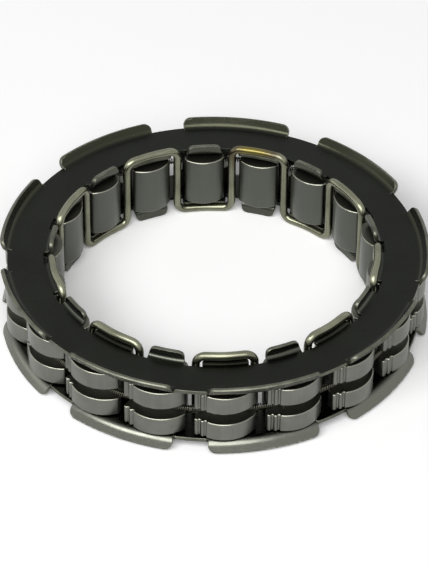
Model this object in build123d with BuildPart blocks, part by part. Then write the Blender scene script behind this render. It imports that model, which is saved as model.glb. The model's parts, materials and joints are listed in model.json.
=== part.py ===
from build123d import *
import os
from math import cos, degrees, radians, sin, sqrt

# One-way clutch bearing for a starter drive, in its free state out of the races.
# The bearing axis is Z and the origin is at its centre, half-way between the two plates.
# Millimetres and degrees throughout.

os.makedirs("parts", exist_ok=True)

# The two races that the clutch runs between
inner_race_radius = 25.8
race_gap = 9.9  # from the inner race out to the outer race
free_reach = 0.03  # how far a free cam stands past its race

# Sprags
sprag_count = 18
sprag_length = 9.0
head_cam_margin = 1.2  # by which the head's cam is rounder than the head is wide
foot_cam_margin = 1.4  # the same for the foot
head_cam_offset = -0.34  # the cams' centres lie either side of the radial line,
foot_cam_offset = 0.15  # so that the sprag wedges when it turns counter-clockwise
head_lead_width = 4.8  # from the radial line to the rounded end of the head
head_trail_width = 3.45  # from the radial line to the grooved shoulder
shoulder_width = 2.25
shoulder_slope = 25.0
shoulder_depth = 1.5
head_flank_depth = 1.1
head_flank_taper = 0.35
foot_wire_gap = 0.63  # from the foot's side to the leg of wire beside it
foot_flank_depth = 0.8
waist_inset = 0.9  # from the foot's side in to the waist
waist_length = 1.6
waist_fillet = 0.9
corner_fillet = 0.35
rib_groove_width = 0.5
rib_groove_depth = 0.3
rib_groove_inset = 0.33  # from the cam to the middle of the first groove
rib_groove_spacing = 1.05

# Garter spring in the sprags' middle groove
spring_diameter = 1.1
spring_inset = 2.7  # from the outer race to the spring's centre line
spring_groove_width = 2.2
spring_floor_gap = 0.3
groove_floor_radius = 8.0

# Side plates, stamped and bent from sheet
plate_thickness = 0.7
end_clearance = 0.27  # between a sprag's end and a plate
plate_edge_gap = 0.7  # between the outer race and a plate's plain edge
outer_tab_gap = 5.8  # plain edge between two outer tabs
outer_tab_setback = 0.85  # from the plain edge to the start of the tabs' bend
outer_bend_radius = 1.2
outer_bend_angle = 62.0
outer_tab_rise = 1.6
outer_tab_corner = 1.3
inner_bend_radius = 0.7
long_tab_taper = 0.8  # how much narrower a long tab is at its crest
long_tab_corner = 0.8
long_tab_gap = 1.0  # between a long tab and the legs of wire beside it
long_tab_rise = 1.65
short_bend_angle = 35.0
short_tab_corner = 1.2
short_tab_gap = 0.3  # between a short tab and the legs of wire beside it

# Serpentine retaining wire
wire_diameter = 1.4
wire_race_gap = 1.05  # between the inner race and the wire
wire_notch_gap = 0.55  # between the wire and the floor of a notch in a plate
wire_seat_gap = 0.03  # height of a wire bar over the crest of the short tab under it
wire_bar_lift = 0.4  # from a plate's outer face to the near side of a wire bar
wire_corner_radius = 1.6
wire_bar_bend_radius = 18.0

right_angle = 90.0
tolerance = 0.001  # for telling one edge or corner from another

# Sizes that follow
pitch = 360 / sprag_count
outer_race_radius = inner_race_radius + race_gap
tab_count = sprag_count // 2
plate_inner_face = sprag_length / 2 + end_clearance
plate_outer_face = plate_inner_face + plate_thickness
plate_outer_radius = outer_race_radius - plate_edge_gap
wire_circle = inner_race_radius + wire_race_gap + wire_diameter / 2
leg_clear = 2 * wire_circle * sin(radians(pitch / 2)) - wire_diameter  # between two legs of wire
notch_radius = wire_circle + wire_diameter / 2 + wire_notch_gap
bar_height = plate_outer_face + wire_bar_lift + wire_diameter / 2
short_tab_rise = wire_bar_lift - wire_seat_gap
spring_circle = outer_race_radius - spring_inset
groove_floor = spring_circle - spring_diameter / 2 - spring_floor_gap
foot_half_width = leg_clear / 2 - foot_wire_gap
waist_half_width = foot_half_width - waist_inset
head_cam_radius = head_lead_width + head_cam_margin
foot_cam_radius = foot_half_width + foot_cam_margin


def radial_plane(angle):
    """The plane through the axis at an angle: its x runs outward and its y runs up."""
    outward = (cos(radians(angle)), sin(radians(angle)), 0)
    normal = (sin(radians(angle)), -cos(radians(angle)), 0)
    return Plane(origin=(0, 0, 0), x_dir=outward, z_dir=normal)


def bent_strip(start_angle, root, bend_start, side, bend_radius, bend_angle, rise):
    """Section of the sheet from its flat root through a bend to a straight tab that rises
    by a given height over the plate's outer face. side is 1 outward and -1 inward."""
    turn = radians(bend_angle)
    far_radius = bend_radius + plate_thickness
    bend_centre = plate_outer_face + bend_radius
    bend_top = bend_centre - bend_radius * cos(turn)
    run = (plate_outer_face + rise - bend_top) / sin(turn)
    near_end = (bend_start + side * bend_radius * sin(turn), bend_top)
    far_end = (bend_start + side * far_radius * sin(turn), bend_centre - far_radius * cos(turn))
    step = (side * run * cos(turn), run * sin(turn))
    with BuildSketch(radial_plane(start_angle)) as section:
        with BuildLine():
            Line((root, plate_outer_face), (bend_start, plate_outer_face))
            RadiusArc((bend_start, plate_outer_face), near_end, -side * bend_radius)
            Polyline(
                near_end,
                (near_end[0] + step[0], near_end[1] + step[1]),
                (far_end[0] + step[0], far_end[1] + step[1]),
                far_end,
            )
            RadiusArc(far_end, (bend_start, plate_inner_face), side * far_radius)
            Polyline((bend_start, plate_inner_face), (root, plate_inner_face), (root, plate_outer_face))
        make_face()
    return section.sketch


def crest_corners(tab):
    """The two edges through the sheet at the free corners of a tab."""
    through = tab.edges().filter_by(lambda edge: abs(edge.length - plate_thickness) < tolerance)
    return through.sort_by(Axis.Z)[-2:]


# One outer tab, centred on the X axis: bent up and flared outward, to drag on the outer race
outer_bend_start = plate_outer_radius - outer_tab_setback
outer_gap_angle = degrees(outer_tab_gap / plate_outer_radius)
outer_tab_angle = 2 * pitch - outer_gap_angle
outer_strip = bent_strip(
    -outer_tab_angle / 2,
    outer_bend_start - plate_thickness,
    outer_bend_start,
    1,
    outer_bend_radius,
    outer_bend_angle,
    outer_tab_rise,
)
with BuildPart() as outer_tab:
    revolve(outer_strip, axis=Axis.Z, revolution_arc=outer_tab_angle)
    fillet(crest_corners(outer_tab), outer_tab_corner)

# The plain edge between two outer tabs
with BuildPart() as edge_land:
    with BuildSketch(radial_plane(-outer_gap_angle / 2)):
        with Locations((outer_bend_start - plate_thickness, plate_inner_face)):
            Rectangle(outer_tab_setback + plate_thickness, plate_thickness, align=(Align.MIN, Align.MIN))
    revolve(axis=Axis.Z, revolution_arc=outer_gap_angle)

# Inner tabs: the long ones stand free, and the short ones carry the bars of the wire
inner_bend_start = wire_circle + plate_thickness / 2 + inner_bend_radius
inner_root = notch_radius + plate_thickness
inner_strip_angle = pitch - degrees(wire_diameter / wire_circle)


def inner_strip(bend_angle, rise):
    """Section of the sheet through an inner tab, swept over the space between two legs."""
    start = -inner_strip_angle / 2
    section = bent_strip(start, inner_root, inner_bend_start, -1, inner_bend_radius, bend_angle, rise)
    revolve(section, axis=Axis.Z, revolution_arc=inner_strip_angle)


# A long tab is upright: its outline is cut as seen along the X axis, with a narrower crest
with BuildPart() as long_tab:
    inner_strip(right_angle, long_tab_rise)
    long_base = leg_clear / 2 - long_tab_gap
    long_top = long_base - long_tab_taper / 2
    long_crest = plate_outer_face + long_tab_rise
    with BuildSketch(Plane.YZ) as long_front:
        with BuildLine():
            Polyline(
                (-long_base, plate_inner_face),
                (long_base, plate_inner_face),
                (long_top, long_crest),
                (-long_top, long_crest),
                close=True,
            )
        make_face()
        fillet(long_front.vertices().sort_by(Axis.Y)[-2:], long_tab_corner)
    extrude(amount=outer_bend_start, mode=Mode.INTERSECT)

# A short tab is only turned up, to carry a bar of the wire: its outline is cut from above
with BuildPart() as short_tab:
    inner_strip(short_bend_angle, short_tab_rise)
    short_end = short_tab.part.bounding_box().min.X
    with BuildSketch(Plane.XY.offset(plate_inner_face)) as short_outline:
        with Locations((short_end, 0)):
            Rectangle(inner_root - short_end, leg_clear - 2 * short_tab_gap, align=(Align.MIN, Align.CENTER))
        fillet(short_outline.vertices().sort_by(Axis.X)[:2], short_tab_corner)
    extrude(amount=plate_thickness + short_tab_rise, mode=Mode.INTERSECT)

# Top plate
with BuildPart() as top_plate:
    with BuildSketch(Plane.XY.offset(plate_inner_face)):
        Circle(outer_bend_start)
        Circle(notch_radius, mode=Mode.SUBTRACT)
    extrude(amount=plate_thickness)
    with PolarLocations(0, tab_count):
        add(outer_tab.part)
    with PolarLocations(0, tab_count, start_angle=pitch):
        add(edge_land.part)
    with PolarLocations(0, tab_count, start_angle=pitch / 2):
        add(long_tab.part)
    with PolarLocations(0, tab_count, start_angle=-pitch / 2):
        add(short_tab.part)
top_plate.part.label = "top_plate"
export_step(top_plate.part, "parts/top_plate.step")

# Bottom plate: the same stamping turned over about the X axis
with BuildPart() as bottom_plate:
    add(top_plate.part, rotation=(180, 0, 0))
bottom_plate.part.label = "bottom_plate"
export_step(bottom_plate.part, "parts/bottom_plate.step")


def on_wire_circle(angle, height):
    """A point of the wire's centre line."""
    return (wire_circle * cos(radians(angle)), wire_circle * sin(radians(angle)), height)


# Retaining wire: one closed serpentine that ties the plates together, with a leg between
# every two sprags and a bar across every second sprag at the top and at the bottom
wire_points = []
wire_radii = []
for leg in range(0, sprag_count, 2):
    angle = leg * pitch
    wire_points += [
        on_wire_circle(angle, bar_height),
        on_wire_circle(angle, -bar_height),
        on_wire_circle(angle + pitch / 2, -bar_height),
        on_wire_circle(angle + pitch, -bar_height),
        on_wire_circle(angle + pitch, bar_height),
        on_wire_circle(angle + 1.5 * pitch, bar_height),
    ]
    wire_radii += [
        wire_corner_radius,
        wire_corner_radius,
        wire_bar_bend_radius,
        wire_corner_radius,
        wire_corner_radius,
        wire_bar_bend_radius,
    ]
with BuildPart() as retaining_wire:
    with BuildLine() as wire_path:
        FilletPolyline(wire_points, radius=wire_radii, close=True)
    with BuildSketch(wire_path.line ^ 0):
        Circle(wire_diameter / 2)
    sweep()
retaining_wire.part.label = "retaining_wire"
export_step(retaining_wire.part, "parts/retaining_wire.step")

# Garter spring: the outer shape of its close coil
with BuildPart() as garter_spring:
    with BuildSketch(Plane.XZ):
        with Locations((spring_circle, 0)):
            Circle(spring_diameter / 2)
    revolve(axis=Axis.Z)
garter_spring.part.label = "garter_spring"
export_step(garter_spring.part, "parts/garter_spring.step")


def on_cam(centre, radius, across, side):
    """The point of a cam at a tangential distance, on its outward (1) or inward (-1) side."""
    return (centre[0] + side * sqrt(radius**2 - (across - centre[1]) ** 2), across)


# One sprag on the X axis: x runs outward along it and y runs counter-clockwise
head_cam = (outer_race_radius + free_reach - head_cam_radius, head_cam_offset)
foot_cam = (inner_race_radius - free_reach + foot_cam_radius, foot_cam_offset)
head_lead = on_cam(head_cam, head_cam_radius, head_lead_width, 1)
head_trail = on_cam(head_cam, head_cam_radius, -head_trail_width, 1)
foot_lead = on_cam(foot_cam, foot_cam_radius, foot_half_width, -1)
foot_trail = on_cam(foot_cam, foot_cam_radius, -foot_half_width, -1)
head_flank_end = (head_lead[0] - head_flank_depth, head_lead[1] - head_flank_taper)
foot_flank_end = (foot_lead[0] + foot_flank_depth, foot_half_width)
waist_middle = (head_flank_end[0] + foot_flank_end[0]) / 2
waist_round = min(waist_fillet, (head_flank_end[0] - foot_flank_end[0]) / 4)
waist_top = waist_middle + waist_length / 2
waist_bottom = waist_middle - waist_length / 2
slope = radians(shoulder_slope)
along_shoulder = (-sin(slope), -cos(slope))
shoulder_tip = (
    head_trail[0] + shoulder_width * along_shoulder[0],
    head_trail[1] + shoulder_width * along_shoulder[1],
)
shoulder_end = (shoulder_tip[0] - shoulder_depth, shoulder_tip[1] + head_flank_taper)
trail_foot_end = (foot_trail[0] + foot_flank_depth, -foot_half_width)
rib_grooves = []
for groove in range(2):
    inset = rib_groove_inset + groove * rib_groove_spacing
    place = (head_trail[0] + inset * along_shoulder[0], head_trail[1] + inset * along_shoulder[1])
    rib_grooves.append(place)

waist_corners = [(x, side * waist_half_width) for x in (waist_top, waist_bottom) for side in (1, -1)]
flank_corners = [head_lead, head_flank_end, foot_flank_end, foot_lead, foot_trail, trail_foot_end]
flank_corners += [shoulder_end, shoulder_tip]


def corners_at(sketch, places):
    """The corners of a sketch that lie at the given places."""
    return sketch.vertices().filter_by(
        lambda corner: any(abs(corner.X - x) + abs(corner.Y - y) < tolerance for x, y in places)
    )


with BuildPart() as sprag_form:
    with BuildSketch(Plane.XY.offset(-sprag_length / 2)) as outline:
        with BuildLine():
            RadiusArc(head_trail, head_lead, -head_cam_radius)
            Polyline(
                head_lead,
                head_flank_end,
                (waist_top, waist_half_width),
                (waist_bottom, waist_half_width),
                foot_flank_end,
                foot_lead,
            )
            RadiusArc(foot_lead, foot_trail, -foot_cam_radius)
            Polyline(
                foot_trail,
                trail_foot_end,
                (waist_bottom, -waist_half_width),
                (waist_top, -waist_half_width),
                shoulder_end,
                shoulder_tip,
                head_trail,
            )
        make_face()
        fillet(corners_at(outline, waist_corners), waist_round)
        fillet(corners_at(outline, flank_corners), corner_fillet)
        with Locations(*rib_grooves):
            Rectangle(2 * rib_groove_depth, rib_groove_width, rotation=-shoulder_slope, mode=Mode.SUBTRACT)
    extrude(amount=sprag_length)
    # The middle groove for the spring, with a rounded floor
    with BuildSketch(Plane.XY.offset(-spring_groove_width / 2)):
        with Locations((groove_floor, 0)):
            Rectangle(2 * groove_floor_radius, 4 * head_lead_width)
        with Locations((groove_floor - groove_floor_radius, 0)):
            Circle(groove_floor_radius, mode=Mode.SUBTRACT)
    extrude(amount=spring_groove_width, mode=Mode.SUBTRACT)

# The sprags stand half-way between the legs of the wire
for number in range(sprag_count):
    with BuildPart() as sprag:
        add(sprag_form.part, rotation=(0, 0, (number + 0.5) * pitch))
    sprag.part.label = f"sprag_{number + 1:02d}"
    export_step(sprag.part, f"parts/{sprag.part.label}.step")
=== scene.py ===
# One-way clutch bearing: a cage of two stamped plates, a serpentine wire and a garter spring
# that holds eighteen sprags. Laid out as a Blender add-on and run as a script.
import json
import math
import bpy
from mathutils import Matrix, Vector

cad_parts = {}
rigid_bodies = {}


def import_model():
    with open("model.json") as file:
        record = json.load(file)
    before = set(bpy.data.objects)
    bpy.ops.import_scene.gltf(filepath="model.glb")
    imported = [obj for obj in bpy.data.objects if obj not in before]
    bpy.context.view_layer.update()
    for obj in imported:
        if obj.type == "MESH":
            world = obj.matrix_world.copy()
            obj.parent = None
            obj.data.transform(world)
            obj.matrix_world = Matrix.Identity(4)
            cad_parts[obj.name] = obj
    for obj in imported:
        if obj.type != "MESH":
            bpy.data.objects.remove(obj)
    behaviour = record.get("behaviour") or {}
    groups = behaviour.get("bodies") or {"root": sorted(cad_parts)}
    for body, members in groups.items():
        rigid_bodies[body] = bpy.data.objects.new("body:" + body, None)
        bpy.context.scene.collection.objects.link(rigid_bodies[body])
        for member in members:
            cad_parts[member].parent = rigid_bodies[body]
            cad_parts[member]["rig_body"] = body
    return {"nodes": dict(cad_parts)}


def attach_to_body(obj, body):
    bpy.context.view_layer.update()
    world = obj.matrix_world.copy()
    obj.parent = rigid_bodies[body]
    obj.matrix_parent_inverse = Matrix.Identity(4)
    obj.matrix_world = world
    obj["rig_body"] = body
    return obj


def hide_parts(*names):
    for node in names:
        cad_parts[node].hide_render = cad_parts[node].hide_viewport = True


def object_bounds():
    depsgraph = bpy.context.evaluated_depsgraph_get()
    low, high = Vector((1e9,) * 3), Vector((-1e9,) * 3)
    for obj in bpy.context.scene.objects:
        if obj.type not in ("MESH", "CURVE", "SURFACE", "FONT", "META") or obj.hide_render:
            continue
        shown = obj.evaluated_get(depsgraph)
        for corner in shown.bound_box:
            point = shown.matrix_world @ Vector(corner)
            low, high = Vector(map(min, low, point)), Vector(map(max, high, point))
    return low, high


bl_info = {
    "name": "One-way clutch bearing",
    "version": (1, 0, 0),
    "blender": (4, 5, 0),
    "location": "3D View > Sidebar > Clutch",
    "description": "Plates, retaining wire, garter spring and sprags of a one-way clutch bearing",
    "category": "Object",
}

import bmesh
import bpy
from mathutils import Matrix, Vector

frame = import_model()
cad_low, cad_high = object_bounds()
MM = 0.001
FULL_TURN = 2 * math.pi
SAME_PLACE = 0.001 * MM  # points that lie nearer than this are one


# Sizes and colours that a user would change


def length(name, description, mm):
    """A length property whose default is given in millimetres."""
    return bpy.props.FloatProperty(
        name=name, description=description, default=mm * MM, unit="LENGTH", precision=5
    )


def turn(name, description, degrees):
    """An angle property whose default is given in degrees."""
    return bpy.props.FloatProperty(
        name=name, description=description, default=math.radians(degrees), unit="ROTATION"
    )


def number(name, description, value, least):
    """A whole-number property."""
    return bpy.props.IntProperty(name=name, description=description, default=value, min=least)


def level(name, description, value, **settings):
    """A property for a brightness, a lamp's power or a lens."""
    return bpy.props.FloatProperty(name=name, description=description, default=value, **settings)


def hex_colour(name, description, value):
    """A colour property, written as an sRGB hex value."""
    return bpy.props.StringProperty(name=name, description=description, default=value)


class ClutchPlateSizes(bpy.types.PropertyGroup):
    """The two stamped end plates."""

    thickness: length("Sheet", "Thickness of the sheet", 0.7)
    face_height: length("Face height", "Outer face of a plate above the middle of the ring", 5.47)
    notch_radius: length("Notch radius", "Inner edge of the flat ring between the tabs", 28.8)
    edge_radius: length("Edge radius", "Outer edge of the flat ring between two outer tabs", 35.0)
    outer_bend_start: length("Outer bend start", "Radius where the outer tabs turn up", 34.15)
    outer_bend_radius: length("Outer bend", "Inside radius of the outer bend", 1.2)
    outer_bend_angle: turn("Outer bend angle", "How far the outer tabs are bent up", 62.0)
    outer_rise: length("Outer tab rise", "Crest of an outer tab above the plate", 1.6)
    outer_gap: length("Outer gap", "Plain edge between two outer tabs", 5.8)
    outer_corner: length("Outer corner", "Corner radius of an outer tab", 1.3)
    inner_bend_start: length("Inner bend start", "Radius where the inner tabs turn up", 28.6)
    inner_bend_radius: length("Inner bend", "Inside radius of the inner bend", 0.7)
    long_base: length("Long tab width", "Width of a long tab at its base", 6.168)
    long_taper: length("Long tab taper", "How much narrower a long tab is at its crest", 0.8)
    long_corner: length("Long tab corner", "Corner radius of a long tab", 0.8)
    long_rise: length("Long tab rise", "Crest of a long tab above the plate", 1.65)
    short_width: length("Short tab width", "Width of a short tab", 7.568)
    short_corner: length("Short tab corner", "Corner radius of a short tab, seen from above", 0.6)
    short_end: length("Short tab end", "Where that corner meets the crest, from the axis", 27.145)
    short_rise: length("Short tab rise", "Crest of a short tab above the plate", 0.37)
    short_bend_angle: turn("Short tab angle", "How far the short tabs are turned up", 20.0)
    edge_round: length("Edge round", "Tumbled rounding of the sheet's edges", 0.08)
    count: number("Tabs", "Outer tabs on each plate", 9, 3)


class ClutchWireSizes(bpy.types.PropertyGroup):
    """The serpentine retaining wire."""

    diameter: length("Diameter", "Wire diameter", 1.4)
    circle: length("Circle", "Radius of the circle that the wire follows", 27.55)
    bar_height: length("Bar height", "Middle of a bar above the middle of the ring", 6.57)
    corner: length("Corner", "Bend radius at each end of a leg", 1.6)
    bar_bend: length("Bar bend", "Bend radius in the middle of a bar", 18.0)
    legs: number("Legs", "Legs of the wire", 18, 4)
    weld_angle: turn("Weld", "Where the ring of wire is welded shut", 72.0)


class ClutchSpringSizes(bpy.types.PropertyGroup):
    """The garter spring round the heads of the sprags."""

    circle: length("Circle", "Radius of the circle through the coil", 33.0)
    diameter: length("Coil", "Outside diameter of the coil", 1.1)
    wire: length("Wire", "Diameter of the spring's wire", 0.24)
    turns: number("Turns", "Turns of the close coil", 576, 8)


class ClutchSpragSizes(bpy.types.PropertyGroup):
    """One sprag, drawn on the X axis: x runs outward and y runs counter-clockwise."""

    count: number("Sprags", "Sprags in the ring", 18, 3)
    length: length("Length", "Length of a sprag along the axis", 9.0)
    head_centre: length("Head centre", "Radius of the centre of the outer cam", 29.73)
    head_offset: length("Head offset", "Sideways place of the centre of the outer cam", -0.34)
    head_cam: length("Head cam", "Radius of the outer cam", 6.0)
    head_lead: length("Head lead", "Half-width of the head on its plain side", 4.8)
    head_trail: length("Head trail", "Half-width of the head up to its ribs", 3.45)
    head_flank: length("Head flank", "Depth of the head's plain side", 1.1)
    flank_taper: length("Flank taper", "How far the sides of the head draw in", 0.35)
    foot_centre: length("Foot centre", "Radius of the centre of the inner cam", 30.623)
    foot_offset: length("Foot offset", "Sideways place of the centre of the inner cam", 0.15)
    foot_cam: length("Foot cam", "Radius of the inner cam", 4.853)
    foot_half: length("Foot half-width", "Half-width of the foot", 3.453)
    foot_flank: length("Foot flank", "Depth of the foot's sides", 0.8)
    waist_half: length("Waist half-width", "Half-width of the waist", 2.553)
    waist_middle: length("Waist middle", "Radius of the middle of the waist", 29.797)
    waist_length: length("Waist length", "Straight length of the waist", 1.6)
    waist_fillet: length("Waist fillet", "Rounding at each end of the waist", 0.9)
    corner_fillet: length("Corner fillet", "Rounding of the other corners", 0.35)
    groove_width: length("Groove width", "Width of the groove for the spring", 2.2)
    groove_floor: length("Groove floor", "Radius of the floor of that groove", 32.15)
    groove_round: length("Groove round", "Radius of curvature of that floor", 8.0)
    shoulder: length("Shoulder", "Width of the ribbed shoulder", 2.25)
    shoulder_depth: length("Shoulder depth", "Depth of the side below the shoulder", 1.5)
    shoulder_slope: turn("Shoulder slope", "Fall of the ribbed shoulder", 25.0)
    rib_width: length("Rib groove width", "Width of a groove in the shoulder", 0.5)
    rib_depth: length("Rib groove depth", "Depth of a groove in the shoulder", 0.3)
    rib_inset: length("Rib inset", "From the cam to the middle of the first groove", 0.33)
    rib_spacing: length("Rib spacing", "From one groove's middle to the other's", 1.05)
    rim: length("Rim", "Tumbled rounding of the ends", 0.14)


class ClutchColours(bpy.types.PropertyGroup):
    """Colours of the finishes, as sRGB hex values."""

    sheet_dark: hex_colour("Sheet, dark", "Black-finished sheet", "#1D1E1B")
    sheet_light: hex_colour("Sheet, light", "Thinner patches of the black finish", "#252722")
    # the three tab tones are painted reflection: tabs lighter than the flat as they lean, and the
    # inner face lighter than the outer face
    tab_outer_face_painted_reflection: hex_colour("Tab, outer face", "Outer tabs, on the side that nothing rubs", "#38392F")
    tab_inner_face_painted_reflection: hex_colour("Tab, inner face", "Outer tabs, where the black is rubbed", "#6A6B63")
    inner_tab: hex_colour("Inner tab", "Inner tabs, a little rubbed", "#50524A")
    sheet_edge: hex_colour("Sheet, edge", "Rubbed edges of the sheet", "#66675C")
    wire_steel: hex_colour("Wire", "Drawn wire", "#868774")
    wire_dark: hex_colour("Wire, dark", "Oil left on the wire", "#6C6D5C")
    straw_tint: hex_colour("Straw tint", "Heat tint beside the weld", "#716838")
    brown_tint: hex_colour("Brown tint", "Heat tint further from the weld", "#4A3F2C")
    sprag_steel: hex_colour("Sprag", "Ground sprag steel", "#75766F")
    sprag_dark: hex_colour("Sprag, dark", "Shade of the drawing lines", "#6A6B65")
    # painted shade: the sprag foot colour darkens the inner cams
    foot_painted_shade: hex_colour("Sprag foot", "Inner cams, darker under their oil", "#5B5D57")
    # painted highlight: the rim colour is brighter than the cams
    sprag_rim_painted_highlight: hex_colour("Sprag rim", "Tumbled rims of the sprags", "#85857A")
    # painted shade: the sprag end colours darken the ends and the groove
    end_painted_shade_dark: hex_colour("Sprag end, dark", "Oiled ends of the sprags", "#484942")
    end_painted_shade_light: hex_colour("Sprag end, light", "Thinner oil on the ends", "#5A5B53")
    spring_steel: hex_colour("Spring", "Garter spring wire", "#55544A")
    paper: hex_colour("Paper", "White paper under the ring", "#FCFCFC")


class ClutchStage(bpy.types.PropertyGroup):
    """Camera, floor and lamps."""

    camera_angle: turn("Camera angle", "Where the camera stands round the ring", -94.0)
    camera_height: turn("Camera height", "Height of the camera over the horizon", 40.07)
    camera_roll: turn("Camera roll", "Tilt of the camera about its own axis", 0.54)
    camera_distance: length("Camera distance", "From the camera to the middle of the ring", 593.2)
    lens: level("Lens", "Focal length in millimetres", 147.0)
    shift_x: level("Shift X", "Sideways framing", -0.0007, precision=4)
    shift_y: level("Shift Y", "Upward framing", -0.0125, precision=4)
    sky: level("Sky", "Light of the world on matt surfaces", 0.12)
    glow: level("Paper glow", "What camera, metal and glass see of the paper's own light", 0.13)
    front: level("Front lamp", "Power of the front lamp", 20.5, unit="POWER")
    left: level("Left lamp", "Power of the left lamp", 9.0, unit="POWER")
    side: level("Side lamp", "Power of the low side lamp", 0.7, unit="POWER")


# Node trees


def to_linear(value):
    """An sRGB hex value as linear red, green, blue and alpha."""
    parts = [int(value[i : i + 2], 16) / 255 for i in (1, 3, 5)]
    parts = [p / 12.92 if p <= 0.04045 else ((p + 0.055) / 1.055) ** 2.4 for p in parts]
    return (*parts, 1.0)


def add(tree, kind, inputs=None, **settings):
    """Adds a node with its own settings. Each input, by name or number, is set to a value,
    or linked to a socket or to the first output that another node has in use."""
    node = tree.nodes.new(kind)
    for key, value in settings.items():
        setattr(node, key, value)
    for key, value in (inputs or {}).items():
        if isinstance(value, bpy.types.Node):
            value = next(output for output in value.outputs if output.enabled)
        if isinstance(value, bpy.types.NodeSocket):
            tree.links.new(value, node.inputs[key])
        else:
            node.inputs[key].default_value = value
    return node


# Finishes


def per_mm(size):
    """Texture scale on Object coordinates for a feature of that many millimetres."""
    return 1 / (size * MM)


def new_material(name):
    """An empty node material."""
    made = bpy.data.materials.new(name)
    made.use_nodes = True
    made.node_tree.nodes.clear()
    return made, made.node_tree


def metal_finish(tree, colour, roughness, pattern=None, bump=None):
    """Ends a material in metal. Its roughness is one value, or runs between two with a
    pattern. Its bump is a pattern, a strength and a depth in millimetres."""
    inputs = {"Base Color": colour, "Metallic": 1.0, "Roughness": roughness}
    if pattern:
        values = {"Value": pattern, "From Min": 0.3, "From Max": 0.7}  # where noise mostly lies
        values["To Min"], values["To Max"] = roughness
        inputs["Roughness"] = add(tree, "ShaderNodeMapRange", values)
    if bump:
        height, strength, depth = bump
        values = {"Height": height, "Strength": strength, "Distance": depth * MM}
        inputs["Normal"] = add(tree, "ShaderNodeBump", values)
    steel = add(tree, "ShaderNodeBsdfPrincipled", inputs)
    add(tree, "ShaderNodeOutputMaterial", {"Surface": steel})


def from_axis(tree, place):
    """Adds the nodes that measure how far a place is from the ring's axis."""
    flat = add(tree, "ShaderNodeVectorMath", {0: place, 1: (1, 1, 0)}, operation="MULTIPLY")
    return add(tree, "ShaderNodeVectorMath", {0: flat}, operation="LENGTH")


def blackened_sheet(colours, name, painted_tab_tone):
    """Spring steel sheet, stamped, black-finished and oiled: near black on the flat, with
    a soft satin sheen, faint cloudy patches and fine tumbling marks. The tabs are painted a
    lighter warm grey the further the sheet leans there: a painted reflection."""
    made, tree = new_material(name)
    place = add(tree, "ShaderNodeTexCoord").outputs["Object"]
    clouds = add(tree, "ShaderNodeTexNoise", {"Vector": place, "Scale": per_mm(7.0), "Detail": 3.0})
    colour = add(
        tree,
        "ShaderNodeMix",
        {0: clouds, 6: to_linear(colours.sheet_dark), 7: to_linear(colours.sheet_light)},
        data_type="RGBA",
    )
    # the sheet leans outward (below 0) at an outer bend and inward at an inner one
    lean = add(tree, "ShaderNodeAttribute", attribute_name="lean").outputs["Fac"]
    # painted reflection: the tabs are painted lighter than the flat as the sheet leans, with one
    # tone for outer bends and one for inner bends
    for start, end, tone in ((-0.2, -0.8, painted_tab_tone), (0.1, 0.9, colours.inner_tab)):
        amount = add(
            tree,
            "ShaderNodeMapRange",
            {"Value": lean, "From Min": start, "From Max": end},
            interpolation_type="SMOOTHSTEP",
        )
        inputs = {0: amount, 6: colour, 7: to_linear(tone)}
        colour = add(tree, "ShaderNodeMix", inputs, data_type="RGBA")
    # tumbling marks, four times as long as wide, at a slant: real ones are about 0.05 mm
    # wide, drawn at 0.2 mm so that they show
    inputs = {"Vector": place, "Rotation": (0, 0, 0.6), "Scale": (0.25, 1, 1)}
    slant = add(tree, "ShaderNodeMapping", inputs)
    marks = add(tree, "ShaderNodeTexNoise", {"Vector": slant, "Scale": per_mm(0.35), "Detail": 2.0})
    grain = add(tree, "ShaderNodeTexNoise", {"Vector": place, "Scale": per_mm(0.3), "Detail": 2.0})
    metal_finish(tree, colour, (0.2, 0.32), marks, bump=(grain, 0.06, 0.02))
    return made


def rubbed_edge(colours):
    """The rounded edges of the same sheet, where tumbling and handling rub the black
    finish thin: a fine line brighter than the flat."""
    made, tree = new_material("rubbed_sheet_edge")
    place = add(tree, "ShaderNodeTexCoord").outputs["Object"]
    wear = add(tree, "ShaderNodeTexNoise", {"Vector": place, "Scale": per_mm(2.2), "Detail": 4.0})
    worn = add(
        tree,
        "ShaderNodeMapRange",
        {"Value": wear, "From Min": 0.35, "From Max": 0.6, "To Min": 0.6, "To Max": 1.0},
    )
    # the edges of the notches lie sheltered between the tabs and stay black
    lean = add(tree, "ShaderNodeAttribute", attribute_name="lean").outputs["Fac"]
    bent = add(tree, "ShaderNodeMath", {0: lean}, operation="ABSOLUTE")
    on_tab = add(tree, "ShaderNodeMapRange", {"Value": bent, "From Min": 0.1, "From Max": 0.4})
    radius = from_axis(tree, place)
    near_rim = {"Value": radius, "From Min": 30 * MM, "From Max": 32 * MM}
    on_rim = add(tree, "ShaderNodeMapRange", near_rim)
    bare = add(tree, "ShaderNodeMath", {0: on_tab, 1: on_rim}, operation="MAXIMUM")
    amount = add(tree, "ShaderNodeMath", {0: bare, 1: worn}, operation="MULTIPLY")
    colour = add(
        tree,
        "ShaderNodeMix",
        {0: amount, 6: to_linear(colours.sheet_light), 7: to_linear(colours.sheet_edge)},
        data_type="RGBA",
    )
    metal_finish(tree, colour, 0.36)
    return made


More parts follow.
